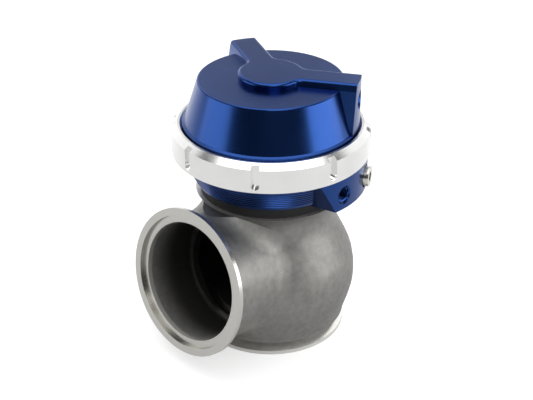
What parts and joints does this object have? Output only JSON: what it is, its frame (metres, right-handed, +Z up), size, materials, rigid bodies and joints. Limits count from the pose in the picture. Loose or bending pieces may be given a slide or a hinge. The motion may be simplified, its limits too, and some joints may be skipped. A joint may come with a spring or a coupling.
{
  "type": "turbo wastegate",
  "caption": "External turbo wastegate: cast body with clamp flanges, sprung poppet valve on a diaphragm, blue cap held by a slotted collar.",
  "frame": {"origin": "centre of the inlet flange's lower face, on the valve axis", "axes": "+Z up the valve stem, -Y towards the outlet"},
  "size_m": [0.11, 0.1281, 0.1563],
  "materials": {
    "cast_steel": "satin investment-cast stainless steel",
    "seat_alloy": "turned hard alloy",
    "valve_steel": "turned heat-resistant steel",
    "bronze": "turned bronze",
    "carbon": "matt carbon",
    "gasket": "graphite sheet",
    "black_spacer": "matt black insulating ring",
    "blue_anodised": "satin blue anodised aluminium",
    "bolt_steel": "black oxide steel",
    "plug_steel": "bright plated steel",
    "silver_collar": "turned bright aluminium",
    "silicone": "moulded silicone on cloth",
    "plate_alloy": "turned aluminium",
    "spring_steel": "drawn spring wire"
  },
  "bodies": {
    "housing": {"valve_body": "cast_steel", "valve_seat": "seat_alloy", "valve_guide": "bronze", "stem_scraper": "carbon", "body_gasket": "gasket", "heat_spacer": "black_spacer", "housing_gasket": "gasket", "lower_housing": "blue_anodised", "stem_seal": "carbon", "port_plug": "plug_steel", "plug_washer": "plug_steel", "diaphragm": "silicone", "outer_spring": "spring_steel", "middle_spring": "spring_steel", "inner_spring": "spring_steel", "spring_locator": "bolt_steel", "cap": "blue_anodised", "cap_dowel_1": "bolt_steel", "cap_dowel_2": "bolt_steel", "housing_bolt_1": "bolt_steel", "housing_bolt_2": "bolt_steel", "housing_bolt_3": "bolt_steel", "housing_bolt_4": "bolt_steel", "housing_bolt_5": "bolt_steel", "housing_bolt_6": "bolt_steel"},
    "valve_group": {"valve": "valve_steel", "lower_plate": "plate_alloy", "upper_plate": "plate_alloy", "stem_washer": "bolt_steel", "stem_nut": "bolt_steel"},
    "collar": {"collar_ring": "silver_collar"}
  },
  "joints": [
    {"name": "valve_lift", "type": "slide", "parent": "housing", "child": "valve_group", "axis": [0, 0, 1], "range_m": [0, 0.013], "stiffness_N_per_m": 12000, "springref_m": -0.02, "deforming": ["outer_spring", "middle_spring", "inner_spring", "diaphragm"]},
    {"name": "collar_turn", "type": "hinge", "parent": "housing", "child": "collar", "pos_m": [0, 0, 0.119], "axis": [0, 0, 1], "range_deg": [0, 30]}
  ]
}
